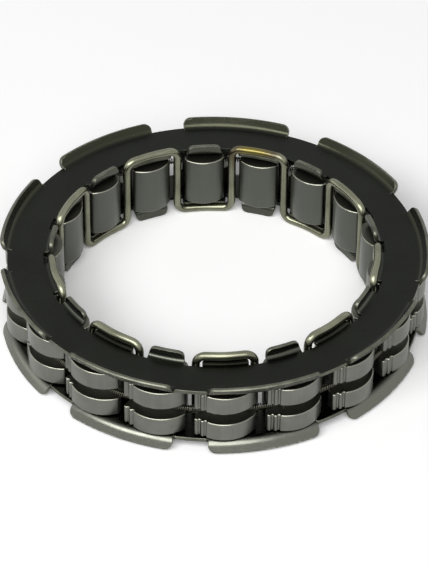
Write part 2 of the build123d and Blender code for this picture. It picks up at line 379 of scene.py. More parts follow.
def drawn_wire(colours, sizes):
    """Hard-drawn spring wire, oiled, and welded into a ring: a warm grey with bright
    highlights and lines along it, and a straw and brown heat tint round the weld."""
    made, tree = new_material("drawn_wire_steel")
    place = add(tree, "ShaderNodeTexCoord").outputs["Object"]
    # die lines about 8 mm long and a 24th of the wire's round wide, near 0.2 mm
    travel = add(tree, "ShaderNodeAttribute", attribute_name="travel").outputs["Fac"]
    around = add(tree, "ShaderNodeAttribute", attribute_name="around").outputs["Fac"]
    unrolled = add(tree, "ShaderNodeCombineXYZ", {0: travel, 1: around})
    inputs = {"Vector": unrolled, "Scale": (per_mm(25 / 3), 24.0, 1.0)}
    drawn = add(tree, "ShaderNodeMapping", inputs)
    lines = add(tree, "ShaderNodeTexNoise", {"Vector": drawn, "Scale": 1.0, "Detail": 2.0})
    oil = add(tree, "ShaderNodeTexNoise", {"Vector": place, "Scale": per_mm(4.0), "Detail": 3.0})
    shade = add(tree, "ShaderNodeMath", {0: lines, 1: oil}, operation="MULTIPLY")
    amount = add(tree, "ShaderNodeMapRange", {"Value": shade, "From Min": 0.15, "From Max": 0.38})
    colour = add(
        tree,
        "ShaderNodeMix",
        {0: amount, 6: to_linear(colours.wire_dark), 7: to_linear(colours.wire_steel)},
        data_type="RGBA",
    )
    # distance from the weld, made ragged
    weld = Vector((math.cos(sizes.weld_angle), math.sin(sizes.weld_angle), 0)) * sizes.circle
    weld.z = sizes.bar_height
    away = add(tree, "ShaderNodeVectorMath", {0: place, 1: weld}, operation="DISTANCE")
    ragged = add(tree, "ShaderNodeTexNoise", {"Vector": place, "Scale": per_mm(1.6), "Detail": 3.0})
    wander = add(
        tree, "ShaderNodeMath", {0: ragged, 1: 1.6 * MM, 2: away}, operation="MULTIPLY_ADD"
    )
    for tint, full, gone, most in (
        (colours.brown_tint, 4.6 * MM, 6.6 * MM, 0.75),
        (colours.straw_tint, 2.6 * MM, 4.2 * MM, 0.85),
    ):
        inputs = {"Value": wander, "From Min": full, "From Max": gone, "To Min": most, "To Max": 0}
        fade = add(tree, "ShaderNodeMapRange", inputs)
        inputs = {0: fade, 6: colour, 7: to_linear(tint)}
        colour = add(tree, "ShaderNodeMix", inputs, data_type="RGBA")
    metal_finish(tree, colour, (0.2, 0.32), lines, bump=(lines, 0.2, 0.01))
    return made


def ground_steel(colours):
    """Hardened bearing steel, drawn to shape and barrel-finished: a mid grey with fine
    lines along the sprag, softened by polishing. The inner cam is painted darker: painted shade."""
    made, tree = new_material("ground_sprag_steel")
    place = add(tree, "ShaderNodeTexCoord").outputs["Object"]
    # drawing lines run along the axis: real pitch about 0.05 mm, drawn at 0.25 mm
    drawn = add(tree, "ShaderNodeMapping", {"Vector": place, "Scale": (1.0, 1.0, 0.05)})
    lines = add(tree, "ShaderNodeTexNoise", {"Vector": drawn, "Scale": per_mm(0.45), "Detail": 3.0})
    clouds = add(tree, "ShaderNodeTexNoise", {"Vector": place, "Scale": per_mm(3.5), "Detail": 2.0})
    both = add(tree, "ShaderNodeMath", {0: lines, 1: 0.5, 2: clouds}, operation="MULTIPLY_ADD")
    amount = add(tree, "ShaderNodeMapRange", {"Value": both, "From Min": 0.55, "From Max": 0.95})
    colour = add(
        tree,
        "ShaderNodeMix",
        {0: amount, 6: to_linear(colours.sprag_dark), 7: to_linear(colours.sprag_steel)},
        data_type="RGBA",
    )
    # painted shade: the inner cam is painted darker towards the axis
    radius = from_axis(tree, place)
    near_foot = {"Value": radius, "From Min": 30.5 * MM, "From Max": 28.5 * MM}
    on_foot = add(tree, "ShaderNodeMapRange", near_foot)
    inputs = {0: on_foot, 6: colour, 7: to_linear(colours.foot_painted_shade)}
    colour = add(tree, "ShaderNodeMix", inputs, data_type="RGBA")
    metal_finish(tree, colour, (0.3, 0.42), lines, bump=(lines, 0.3, 0.01))
    return made


def rim_painted_highlight(colours):
    """The tumbled rims of the sprags, painted brighter than the cams so that each end
    shows a thin bright line: a painted highlight."""
    made, tree = new_material("tumbled_sprag_rim")
    place = add(tree, "ShaderNodeTexCoord").outputs["Object"]
    nicks = add(tree, "ShaderNodeTexNoise", {"Vector": place, "Scale": per_mm(0.8), "Detail": 3.0})
    metal_finish(tree, to_linear(colours.sprag_rim_painted_highlight), (0.16, 0.34), nicks)
    return made


def ends_in_painted_shade(colours):
    """The sawn ends and the groove of a sprag, painted darker than the cams because they lie
    in shade under the plates and inside the groove: painted shade, nearly black, with a dull sheen."""
    made, tree = new_material("sprag_end_painted_shade")
    place = add(tree, "ShaderNodeTexCoord").outputs["Object"]
    # two tones of painted shade, mixed in patches
    shade_patches = add(tree, "ShaderNodeTexNoise", {"Vector": place, "Scale": per_mm(1.5), "Detail": 3.0})
    inputs = {0: shade_patches, 6: to_linear(colours.end_painted_shade_dark), 7: to_linear(colours.end_painted_shade_light)}
    colour = add(tree, "ShaderNodeMix", inputs, data_type="RGBA")
    metal_finish(tree, colour, 0.4)
    return made


def coiled_wire(colours):
    """Fine spring wire in a close coil, oiled: warm and bright on each turn, dark between."""
    made, tree = new_material("coiled_spring_wire")
    place = add(tree, "ShaderNodeTexCoord").outputs["Object"]
    clouds = add(tree, "ShaderNodeTexNoise", {"Vector": place, "Scale": per_mm(2.5), "Detail": 2.0})
    metal_finish(tree, to_linear(colours.spring_steel), (0.2, 0.34), clouds)
    return made


# Objects


def new_object(name, mesh):
    """Links a mesh as an object at the origin."""
    made = bpy.data.objects.new(name, mesh)
    bpy.context.scene.collection.objects.link(made)
    return made


def attach(piece, node):
    """The piece stands for a CAD node and rides on that node's body."""
    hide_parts(node)
    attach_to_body(piece, frame["nodes"][node]["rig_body"])


def new_tree(name, inputs):
    """A Geometry Nodes tree with named inputs, and the sockets that hand them on."""
    tree = bpy.data.node_groups.new(name, "GeometryNodeTree")
    for label, kind in {"Geometry": "Geometry", **inputs}.items():
        tree.interface.new_socket(label, in_out="INPUT", socket_type="NodeSocket" + kind)
    tree.interface.new_socket("Geometry", in_out="OUTPUT", socket_type="NodeSocketGeometry")
    return tree, add(tree, "NodeGroupInput").outputs


def close_tree(tree, shape, finishes):
    """Ends a tree in real geometry, with each finish on all of it or on a mark's faces."""
    shape = add(tree, "GeometryNodeRealizeInstances", {0: shape})
    for finish, mark in finishes:
        inputs = {"Geometry": shape, "Material": finish}
        if mark:
            read = "GeometryNodeInputNamedAttribute"
            inputs["Selection"] = add(tree, read, {"Name": mark}, data_type="BOOLEAN")
        shape = add(tree, "GeometryNodeSetMaterial", inputs)
    add(tree, "NodeGroupOutput", {0: shape})


def ring_of_points(tree, line, angle, radius, height):
    """Adds the nodes that set a line's points round the axis, joined as a closed curve."""
    x, y = (
        add(
            tree,
            "ShaderNodeMath",
            {0: add(tree, "ShaderNodeMath", {0: angle}, operation=part), 1: radius},
            operation="MULTIPLY",
        )
        for part in ("COSINE", "SINE")
    )
    point = add(tree, "ShaderNodeCombineXYZ", {0: x, 1: y, 2: height})
    placed = add(tree, "GeometryNodeSetPosition", {"Geometry": line, "Position": point})
    curve = add(tree, "GeometryNodeMeshToCurve", {"Mesh": placed})
    return add(tree, "GeometryNodeSetSplineCyclic", {0: curve, "Cyclic": True})


def run_tree(tree, base, values, name):
    """The plain mesh that a tree makes on a base mesh with these input values."""
    holder = new_object(name + "_base", base)
    modifier = holder.modifiers.new(tree.name, "NODES")
    modifier.node_group = tree
    for item in tree.interface.items_tree:
        if item.in_out == "INPUT" and item.name in values:
            modifier[item.identifier] = values[item.name]
    bpy.context.view_layer.update()
    evaluated = holder.evaluated_get(bpy.context.evaluated_depsgraph_get())
    mesh = bpy.data.meshes.new_from_object(evaluated)
    holder.modifiers.remove(modifier)
    bpy.data.objects.remove(holder)
    if not mesh.polygons:
        raise RuntimeError(f"no shape was made for {name}")
    mesh.name = name
    return mesh


def make_wound(tree, values, name, node):
    """Makes a piece of wire from its tree alone, in place of a CAD node."""
    mesh = run_tree(tree, bpy.data.meshes.new(name + "_base"), values, name)
    mesh.shade_smooth()
    attach(new_object(name, mesh), node)


# Plates


def flat_height(sizes):
    """Height of the middle of the sheet where it is flat."""
    return sizes.face_height - sizes.thickness / 2


def bent_rows(start, side, bend, angle, rise, half_at, sizes):
    """Rows of a tab from the flat to its crest: radius, height, half-angle and slope. Its
    half-angle comes from a function of the row's radius, its height and the way left."""
    bend_rows, corner_rows, closest = 7, 6, 0.03 * MM
    radius = bend + sizes.thickness / 2
    run = (rise - bend * (1 - math.cos(angle))) / math.sin(angle)
    whole = radius * angle + run
    stops = {radius * angle * i / bend_rows for i in range(bend_rows + 1)}
    # closer rows towards the crest, as far as the largest rounded corner reaches
    for i in range(corner_rows + 1):
        stops.add(whole - sizes.outer_corner * (1 - math.sin(math.pi / 2 * i / corner_rows)))
    rows, last = [], -1.0
    for far in sorted(stops):
        if far < 0 or far - last < closest:
            continue
        last = far
        a = min(angle, far / radius)
        past = max(0.0, far - radius * angle)
        r = start + side * (radius * math.sin(a) + past * math.cos(angle))
        z = flat_height(sizes) + radius * (1 - math.cos(a)) + past * math.sin(angle)
        rows.append((r, z, half_at(r, z, whole - far), -side * a))
    return rows


def round_off(corner, left):
    """How far a rounded corner cuts in, that far from the end."""
    into = max(0.0, corner - left)
    return corner - math.sqrt(max(0.0, corner**2 - into**2))


def tab_kinds(sizes):
    """Each kind of tab in a period: its middle, its number of columns and its rows. The
    plain edge between two outer tabs is one of them."""
    period = FULL_TURN / sizes.count
    flat = flat_height(sizes)
    outer_half = (period - sizes.outer_gap / sizes.edge_radius) / 2
    crest = sizes.face_height + sizes.long_rise
    slope = sizes.long_taper / 2 / (sizes.long_rise + sizes.thickness)
    corner_middle = 0.88  # where a short tab's corner lies, of its half-width
    outer_columns, land_columns, inner_columns = 16, 4, 10

    def outer(r, z, left):
        return outer_half - round_off(sizes.outer_corner, left) / r

    def long(r, z, left):
        wide = sizes.long_base / 2 - slope * (z - flat) - round_off(sizes.long_corner, crest - z)
        return math.asin(wide / r)

    def short(r, z, left):
        wide = sizes.short_width / 2
        x = math.sqrt(r**2 - (corner_middle * wide) ** 2)
        return math.asin((wide - round_off(sizes.short_corner, x - sizes.short_end)) / r)

    def inner_tab(angle, rise, half_at):
        root = sizes.notch_radius
        bend = (sizes.inner_bend_start, -1, sizes.inner_bend_radius)
        rows = bent_rows(*bend, angle, rise, half_at, sizes)
        return [(root, flat, half_at(root, flat, math.inf), 0.0)] + rows

    bend = (sizes.outer_bend_start, 1, sizes.outer_bend_radius, sizes.outer_bend_angle)
    land_half = period / 2 - outer_half
    land = [(r, flat, land_half, 0.0) for r in (sizes.outer_bend_start, sizes.edge_radius)]
    short_rows = inner_tab(sizes.short_bend_angle, sizes.short_rise, short)
    return (
        (0.0, outer_columns, bent_rows(*bend, sizes.outer_rise, outer, sizes)),
        (period / 2, land_columns, land),
        (period / 4, inner_columns, inner_tab(math.pi / 2, sizes.long_rise, long)),
        (3 * period / 4, inner_columns, short_rows),
    )


def plate_mesh(sizes, name):
    """The top plate: the grid of its middle surface, given its two faces and rounded edges."""
    period = FULL_TURN / sizes.count
    flat = flat_height(sizes)
    bands = 4  # rows of faces across the flat ring
    digits, same_angle = 7, 1e-6  # how exact its angles are
    points, normals, leans, seen, faces = [], [], [], {}, []

    def corner(angle, r, z, slope):
        place = Vector((r * math.cos(angle), r * math.sin(angle), z))
        key = tuple(round(v / SAME_PLACE) for v in place)
        if key not in seen:
            seen[key] = len(points)
            points.append(place)
            leans.append(slope)
            out = math.sin(slope)
            normals.append(Vector((out * math.cos(angle), out * math.sin(angle), math.cos(slope))))
        return seen[key]

    def grid(columns):
        for left, right in zip(columns, columns[1:]):
            for i in range(len(left) - 1):
                face = [left[i], left[i + 1], right[i + 1], right[i]]
                one, two = points[face[1]] - points[face[0]], points[face[3]] - points[face[0]]
                faces.append(face if one.cross(two).dot(normals[face[0]]) > 0 else face[::-1])

    tabs = [
        (k * period + middle, columns, rows)
        for k in range(sizes.count)
        for middle, columns, rows in tab_kinds(sizes)
    ]
    # the flat ring has a line of corners at every column of every tab
    angles = set()
    for middle, columns, rows in tabs:
        for i in range(columns + 1):
            turned = middle + (2 * i / columns - 1) * rows[0][2]
            angles.add(round(turned % FULL_TURN, digits))
    angles = sorted(angles)
    wide = sizes.outer_bend_start - sizes.notch_radius
    radii = [sizes.notch_radius + wide * i / bands for i in range(bands + 1)]
    ring = [[corner(a, r, flat, 0.0) for r in radii] for a in angles]
    grid(ring + [ring[0]])
    for middle, _, rows in tabs:
        half = rows[0][2]
        # the tab takes up every angle of the ring that falls within its root
        turned = [(a - middle + math.pi) % FULL_TURN - math.pi for a in angles]
        spread = sorted(a / half for a in turned if abs(a) < half + same_angle)
        grid([[corner(middle + t * a, r, z, lean) for r, z, a, lean in rows] for t in spread])
    return sheet_mesh(points, normals, leans, faces, sizes, name)


def sheet_mesh(points, normals, leans, faces, sizes, name):
    """Gives a middle surface its thickness. The outer face gets material 0, the rounded
    edges 1 and the inner face 2, and every corner keeps how far the sheet leans there."""
    half, rounding = sizes.thickness / 2, sizes.edge_round
    folded_back = -0.9  # how two edges stand to each other at the end of a slit
    sides = {(a, b) for face in faces for a, b in zip(face, face[1:] + face[:1])}
    border = sorted((a, b) for a, b in sides if (b, a) not in sides)
    inward = {}
    for a, b in border:
        for i in (a, b):
            inward.setdefault(i, []).append(normals[i].cross(points[b] - points[a]).normalized())
    moves = [Vector()] * len(points)
    for i, (one, two) in inward.items():
        if one.dot(two) > folded_back:
            moves[i] = (one + two) * (rounding / (1 + one.dot(two)))
    shape = bmesh.new()
    lean_layer = shape.verts.layers.float.new("lean")

    def layer(height, some, move):
        made = {}
        for i in some:
            made[i] = shape.verts.new(points[i] + normals[i] * height + moves[i] * move)
            made[i][lean_layer] = leans[i]
        return made

    every, rim = range(len(points)), sorted(inward)
    up, down = layer(half, every, 1), layer(-half, every, 1)
    high, low = layer(half - rounding, rim, 0), layer(rounding - half, rim, 0)
    for face in faces:
        shape.faces.new([up[i] for i in face])
        shape.faces.new([down[i] for i in reversed(face)]).material_index = 2
    for a, b in border:
        for top, bottom in ((up, high), (high, low), (low, down)):
            shape.faces.new([top[b], top[a], bottom[a], bottom[b]]).material_index = 1
    for edge in shape.edges:
        edge.smooth = len({face.material_index for face in edge.link_faces}) == 1
    return smooth_mesh(shape, name)


def smooth_mesh(shape, name):
    """Turns a finished shape into a mesh, smooth but for its sharp edges."""
    for face in shape.faces:
        face.smooth = True
    mesh = bpy.data.meshes.new(name)
    shape.to_mesh(mesh)
    shape.free()
    return mesh


class CLUTCH_OT_plates(bpy.types.Operator):
    """Makes the two stamped plates with their bent tabs"""

    bl_idname = "clutch.plates"
    bl_label = "Make plates"

    def execute(self, context):
        sizes, colours = context.scene.clutch_plates, context.scene.clutch_colours
        finishes = (
            # each face's tabs take their own painted reflection tone
            blackened_sheet(colours, "blackened_outer_face", colours.tab_outer_face_painted_reflection),
            rubbed_edge(colours),
            blackened_sheet(colours, "blackened_inner_face", colours.tab_inner_face_painted_reflection),
        )
        for name, flip in (("top_plate", False), ("bottom_plate", True)):
            mesh = plate_mesh(sizes, name + "_sheet")
            if flip:  # the same stamping turned over about the X axis
                mesh.transform(Matrix.Rotation(math.pi, 4, "X"))
            for finish in finishes:
                mesh.materials.append(finish)
            attach(new_object(name + "_sheet", mesh), name)
        return {"FINISHED"}


# Wire


def wire_tree():
    """A closed serpentine round a cylinder: legs up and down, joined by bars."""
    inputs = {"Legs": "Int", "Circle": "Float", "Bar height": "Float", "Corner": "Float"}
    inputs.update({"Bar bend": "Float", "Diameter": "Float", "Material": "Material"})
    tree, given = new_tree("Serpentine wire", inputs)
    stops = 3.0  # for each leg: its two ends and the middle of the bar after it
    count = add(tree, "ShaderNodeMath", {0: given["Legs"], 1: stops}, operation="MULTIPLY")
    line = add(tree, "GeometryNodeMeshLine", {"Count": count})
    index = add(tree, "GeometryNodeInputIndex")
    whole = add(tree, "ShaderNodeMath", {0: index, 1: stops}, operation="DIVIDE")
    leg = add(tree, "ShaderNodeMath", {0: whole}, operation="FLOOR")
    stop = add(tree, "ShaderNodeMath", {0: index, 1: stops}, operation="MODULO")
    is_bar = add(tree, "ShaderNodeMath", {0: stop, 1: 1.5}, operation="GREATER_THAN")
    is_over = add(tree, "ShaderNodeMath", {0: stop, 1: 0.5}, operation="GREATER_THAN")
    pitch = add(tree, "ShaderNodeMath", {0: FULL_TURN, 1: given["Legs"]}, operation="DIVIDE")
    place = add(tree, "ShaderNodeMath", {0: is_bar, 1: 0.5, 2: leg}, operation="MULTIPLY_ADD")
    angle = add(tree, "ShaderNodeMath", {0: place, 1: pitch}, operation="MULTIPLY")
    # even legs run down and odd ones up, so a side is 1 or -1 for the leg and for its end
    odd = add(tree, "ShaderNodeMath", {0: leg, 1: 2.0}, operation="MODULO")
    leg_side = add(tree, "ShaderNodeMath", {0: odd, 1: -2.0, 2: 1.0}, operation="MULTIPLY_ADD")
    end_side = add(tree, "ShaderNodeMath", {0: is_over, 1: -2.0, 2: 1.0}, operation="MULTIPLY_ADD")
    side = add(tree, "ShaderNodeMath", {0: leg_side, 1: end_side}, operation="MULTIPLY")
    height = add(tree, "ShaderNodeMath", {0: side, 1: given["Bar height"]}, operation="MULTIPLY")
    bend = add(tree, "ShaderNodeMix", {0: is_bar, 2: given["Corner"], 3: given["Bar bend"]})
    keep = "GeometryNodeStoreNamedAttribute"
    inputs = {"Geometry": line, "Name": "bend", "Value": bend}
    bent = add(tree, keep, inputs, data_type="FLOAT")
    closed = ring_of_points(tree, bent, angle, given["Circle"], height)
    read = "GeometryNodeInputNamedAttribute"
    bend_here = add(tree, read, {"Name": "bend"}, data_type="FLOAT")
    inputs = {"Curve": closed, "Radius": bend_here, "Count": 9}
    rounded_line = add(tree, "GeometryNodeFilletCurve", inputs, mode="POLY")
    # the finish follows the way along the wire and round it
    far = add(tree, "GeometryNodeSplineParameter").outputs["Length"]
    inputs = {"Geometry": rounded_line, "Name": "travel", "Value": far}
    measured = add(tree, keep, inputs, data_type="FLOAT")
    half = add(tree, "ShaderNodeMath", {0: given["Diameter"], 1: 0.5}, operation="MULTIPLY")
    section = add(tree, "GeometryNodeCurvePrimitiveCircle", {"Resolution": 20, "Radius": half})
    share = add(tree, "GeometryNodeSplineParameter").outputs["Factor"]
    inputs = {"Geometry": section, "Name": "around", "Value": share}
    section = add(tree, keep, inputs, data_type="FLOAT")
    tube = add(tree, "GeometryNodeCurveToMesh", {"Curve": measured, "Profile Curve": section})
    close_tree(tree, tube, [(given["Material"], None)])
    return tree


class CLUTCH_OT_wire(bpy.types.Operator):
    """Makes the serpentine wire that ties the plates together"""

    bl_idname = "clutch.wire"
    bl_label = "Make wire"

    def execute(self, context):
        sizes = context.scene.clutch_wire
        values = {
            "Legs": sizes.legs,
            "Circle": sizes.circle,
            "Bar height": sizes.bar_height,
            "Corner": sizes.corner,
            "Bar bend": sizes.bar_bend,
            "Diameter": sizes.diameter,
            "Material": drawn_wire(context.scene.clutch_colours, sizes),
        }
        make_wound(wire_tree(), values, "serpentine_wire", "retaining_wire")
        return {"FINISHED"}


# Garter spring


def spring_tree():
    """A close coil bent round a circle and joined end to end."""
    inputs = {"Turns": "Int", "Circle": "Float", "Coil radius": "Float", "Wire radius": "Float"}
    tree, given = new_tree("Garter spring", {**inputs, "Material": "Material"})
    steps = 8.0  # points in each turn of the coil
    count = add(tree, "ShaderNodeMath", {0: given["Turns"], 1: steps}, operation="MULTIPLY")
    line = add(tree, "GeometryNodeMeshLine", {"Count": count})
    index = add(tree, "GeometryNodeInputIndex")
    coiled = add(tree, "ShaderNodeMath", {0: index, 1: FULL_TURN / steps}, operation="MULTIPLY")
    angle = add(tree, "ShaderNodeMath", {0: coiled, 1: given["Turns"]}, operation="DIVIDE")
    out = add(tree, "ShaderNodeMath", {0: coiled}, operation="COSINE")
    up = add(tree, "ShaderNodeMath", {0: coiled}, operation="SINE")
    inputs = {0: out, 1: given["Coil radius"], 2: given["Circle"]}
    radius = add(tree, "ShaderNodeMath", inputs, operation="MULTIPLY_ADD")
    height = add(tree, "ShaderNodeMath", {0: up, 1: given["Coil radius"]}, operation="MULTIPLY")
    closed = ring_of_points(tree, line, angle, radius, height)
    inputs = {"Resolution": 5, "Radius": given["Wire radius"]}
    section = add(tree, "GeometryNodeCurvePrimitiveCircle", inputs)
    tube = add(tree, "GeometryNodeCurveToMesh", {"Curve": closed, "Profile Curve": section})
    close_tree(tree, tube, [(given["Material"], None)])
    return tree


class CLUTCH_OT_spring(bpy.types.Operator):
    """Makes the coiled garter spring"""

    bl_idname = "clutch.spring"
    bl_label = "Make spring"

    def execute(self, context):
        sizes = context.scene.clutch_spring
        values = {
            "Turns": sizes.turns,
            "Circle": sizes.circle,
            "Coil radius": (sizes.diameter - sizes.wire) / 2,
            "Wire radius": sizes.wire / 2,
            "Material": coiled_wire(context.scene.clutch_colours),
        }
        make_wound(spring_tree(), values, "coiled_spring", "garter_spring")
        return {"FINISHED"}


# Sprags


def arc(centre, radius, start, end, steps):
    """Points of a cam from one point to another, counter-clockwise, both included."""
    first = math.atan2(start.y - centre.y, start.x - centre.x)
    last = math.atan2(end.y - centre.y, end.x - centre.x)
    if last < first:
        last += FULL_TURN
    return [
        Vector((centre.x + radius * math.cos(a), centre.y + radius * math.sin(a)))
        for a in (first + (last - first) * i / steps for i in range(steps + 1))
    ]


def rounded(before, corner, after, radius):
    """The corner of a line replaced by an arc of that radius."""
    steps, most = 4, 0.48  # most of a side that the arc may take up
    back, forth = (before - corner).normalized(), (after - corner).normalized()
    half = back.angle(forth) / 2
    room = most * min((before - corner).length, (after - corner).length)
    reach = min(radius / math.tan(half), room)
    middle = corner + (back + forth).normalized() * (reach / math.cos(half))
    first, last = corner + back * reach - middle, corner + forth * reach - middle
    radius = reach * math.tan(half)
    return [middle + first.lerp(last, i / steps).normalized() * radius for i in range(steps + 1)]


def rounded_path(path, radii):
    """A path between its two ends, with each of its corners rounded."""
    corners = zip(path, path[1:], path[2:], radii)
    return [point for corner in corners for point in rounded(*corner)]


def sprag_outline(s):
    """The section of a sprag, counter-clockwise from the ribbed side of its outer cam."""
    head, foot = Vector((s.head_centre, s.head_offset)), Vector((s.foot_centre, s.foot_offset))

    def on_cam(centre, radius, side, y):
        return Vector((centre.x + side * math.sqrt(radius**2 - (y - centre.y) ** 2), y))

    head_lead = on_cam(head, s.head_cam, 1, s.head_lead)
    head_trail = on_cam(head, s.head_cam, 1, -s.head_trail)
    foot_lead = on_cam(foot, s.foot_cam, -1, s.foot_half)
    foot_trail = on_cam(foot, s.foot_cam, -1, -s.foot_half)
    waist_top = s.waist_middle + s.waist_length / 2
    waist_low = s.waist_middle - s.waist_length / 2
    slope = Vector((-math.sin(s.shoulder_slope), -math.cos(s.shoulder_slope)))
    inward = Vector((slope.y, -slope.x))
    tip = head_trail + slope * s.shoulder
    corner, waist = s.corner_fillet, s.waist_fillet
    head_steps, foot_steps = 22, 16

    # outer cam, plain side, inner cam and the side under the shoulder
    points = arc(head, s.head_cam, head_trail, head_lead, head_steps)[:-1]
    path = [
        points[-1],
        head_lead,
        Vector((head_lead.x - s.head_flank, s.head_lead - s.flank_taper)),
        Vector((waist_top, s.waist_half)),
        Vector((waist_low, s.waist_half)),
        Vector((foot_lead.x + s.foot_flank, s.foot_half)),
        foot_lead,
    ]
    points += rounded_path(path, (corner, corner, waist, waist, corner))
    points += arc(foot, s.foot_cam, foot_lead, foot_trail, foot_steps)
    path = [
        foot_trail,
        Vector((foot_trail.x + s.foot_flank, -s.foot_half)),
        Vector((waist_low, -s.waist_half)),
        Vector((waist_top, -s.waist_half)),
        Vector((tip.x - s.shoulder_depth, tip.y + s.flank_taper)),
        tip,
        head_trail,
    ]
    points += rounded_path(path, (corner, waist, waist, corner, corner))
    # the two rib grooves, met from the tip of the shoulder back to the cam
    floor = inward * s.rib_depth
    wall = floor * 0.8  # a groove's floor is round, so its walls are less deep
    for inset in (s.rib_inset + s.rib_spacing, s.rib_inset):
        middle = head_trail + slope * inset
        far, near = middle + slope * s.rib_width / 2, middle - slope * s.rib_width / 2
        points += [far, far + wall, middle + floor, near + wall, near]
    return [p for i, p in enumerate(points) if (p - points[i - 1]).length > SAME_PLACE]


def grooved(outline, s):
    """The same outline inside the round floor of the spring's groove, point for point."""
    centre = Vector((s.groove_floor - s.groove_round, 0))
    outside = [(p - centre).length > s.groove_round for p in outline]
    count = len(outline)
    start = next(i for i in range(count) if outside[i] and not outside[i - 1])
    run = [start]
    while outside[(run[-1] + 1) % count]:
        run.append((run[-1] + 1) % count)

    def crossing(a, b):
        """Where the line from a, inside, to b, outside, crosses the floor, by halving."""
        low, high = 0.0, 1.0
        for _ in range(30):
            middle = (low + high) / 2
            if (a.lerp(b, middle) - centre).length > s.groove_round:
                high = middle
            else:
                low = middle
        return a.lerp(b, low)

    first = crossing(outline[run[0] - 1], outline[run[0]]) - centre
    last = crossing(outline[(run[-1] + 1) % count], outline[run[-1]]) - centre
    begin, finish = math.atan2(first.y, first.x), math.atan2(last.y, last.x)
    far = [0.0]
    for a, b in zip(run, run[1:]):
        far.append(far[-1] + (outline[b] - outline[a]).length)
    made = list(outline)
    for i, here in zip(run, far):
        a = begin + (finish - begin) * here / far[-1]
        made[i] = centre + Vector((math.cos(a), math.sin(a))) * s.groove_round
    return made


def inset_outline(outline, amount):
    """The outline moved inward by that amount, and at most twice as far at a corner."""
    moved = []
    for i, p in enumerate(outline):
        before, after = outline[i - 1], outline[(i + 1) % len(outline)]
        one, two = (p - before).normalized(), (after - p).normalized()
        normal = Vector((-one.y - two.y, one.x + two.x)).normalized()
        spread = max(0.5, normal.dot(Vector((-one.y, one.x))))
        moved.append(p + normal * amount / spread)
    return moved


def sprag_mesh(s, name):
    """One sprag on the X axis, from loops of its outline along the axis."""
    outline = sprag_outline(s)
    floor = grooved(outline, s)
    area = sum(a.x * b.y - b.x * a.y for a, b in zip(outline, outline[1:] + outline[:1]))
    if area < 0:
        raise RuntimeError("the outline of a sprag runs the wrong way round")
    half, gap, rim = s.length / 2, s.groove_width / 2, s.rim
    soft = rim * (1 - math.cos(math.pi / 4))
    inner, between = inset_outline(outline, rim), inset_outline(outline, soft)
    # each loop's points, its height, and whether the band up to it is a rounded rim
    levels = [
        (inner, -half, False),
        (between, -half + soft, True),
        (outline, -half + rim, True),
        (outline, -gap - rim, False),
        (between, -gap - soft, True),
        (inner, -gap, True),
        (floor, -gap, False),
        (floor, gap, False),
        (inner, gap, False),
        (between, gap + soft, True),
        (outline, gap + rim, True),
        (outline, half - rim, False),
        (between, half - soft, True),
        (inner, half, True),
    ]
    unmoved = 1e-9  # the groove's floor leaves the points inside it where they are
    outside = [(a - b).length > unmoved for a, b in zip(outline, floor)]
    shape = bmesh.new()
    rim_mark = shape.faces.layers.bool.new("rim")
    end_mark = shape.faces.layers.bool.new("end")
    loops = []
    for points, z, _ in levels:
        if abs(z) < gap + 1.5 * rim:  # under the groove's floor the section carries through
            points = [p if outside[i] else outline[i] for i, p in enumerate(points)]
        loops.append([shape.verts.new((p.x, p.y, z)) for p in points])
    count = len(outline)
    sharp = [(loop[i], loop[i - 1]) for loop in (loops[0], loops[-1]) for i in range(count)]
    rims = [is_rim for _, _, is_rim in levels]
    for low, high, was_rim, is_rim in zip(loops, loops[1:], rims, rims[1:]):
        middle = (low[0].co.z + high[0].co.z) / 2
        for i in range(count):
            j = (i + 1) % count
            face = shape.faces.new([low[i], low[j], high[j], high[i]])
            if abs(middle) < half - rim and not (outside[i] or outside[j]):
                continue
            face[rim_mark] = is_rim
            face[end_mark] = abs(middle) <= gap
            if is_rim != was_rim:
                sharp.append((low[i], low[j]))
    shape.faces.new(loops[0][::-1])[end_mark] = True
    shape.faces.new(loops[-1])[end_mark] = True
    steep = math.radians(50)
    for edge in [shape.edges.get(pair) for pair in sharp] + [
        edge
        for edge in shape.edges
        if len(edge.link_faces) == 2 and edge.calc_face_angle(0) > steep
    ]:
        edge.smooth = False
    bmesh.ops.remove_doubles(shape, verts=shape.verts, dist=SAME_PLACE / 5)
    bmesh.ops.recalc_face_normals(shape, faces=shape.faces)
    return smooth_mesh(shape, name)


def ring_tree():
    """A shape repeated round the ring, of which one copy is kept."""
    inputs = {"Count": "Int", "Number": "Int"}
    inputs.update({"Steel": "Material", "Rim steel": "Material", "End steel": "Material"})
    tree, given = new_tree("Sprags round the ring", inputs)
    line = add(tree, "GeometryNodeMeshLine", {"Count": given["Count"], "Offset": (0, 0, 0)})
    index = add(tree, "GeometryNodeInputIndex")
    inputs = {2: index, 3: given["Number"]}
    kept = add(tree, "FunctionNodeCompare", inputs, data_type="INT", operation="EQUAL")
    pitch = add(tree, "ShaderNodeMath", {0: FULL_TURN, 1: given["Count"]}, operation="DIVIDE")
    halfway = add(tree, "ShaderNodeMath", {0: index, 1: 0.5}, operation="ADD")
    angle = add(tree, "ShaderNodeMath", {0: halfway, 1: pitch}, operation="MULTIPLY")
    spin = add(tree, "ShaderNodeCombineXYZ", {2: angle})
    inputs = {"Points": line, "Selection": kept, "Instance": given["Geometry"], "Rotation": spin}
    copies = add(tree, "GeometryNodeInstanceOnPoints", inputs)
    marks = (("Steel", None), ("Rim steel", "rim"), ("End steel", "end"))
    close_tree(tree, copies, [(given[steel], mark) for steel, mark in marks])
    return tree


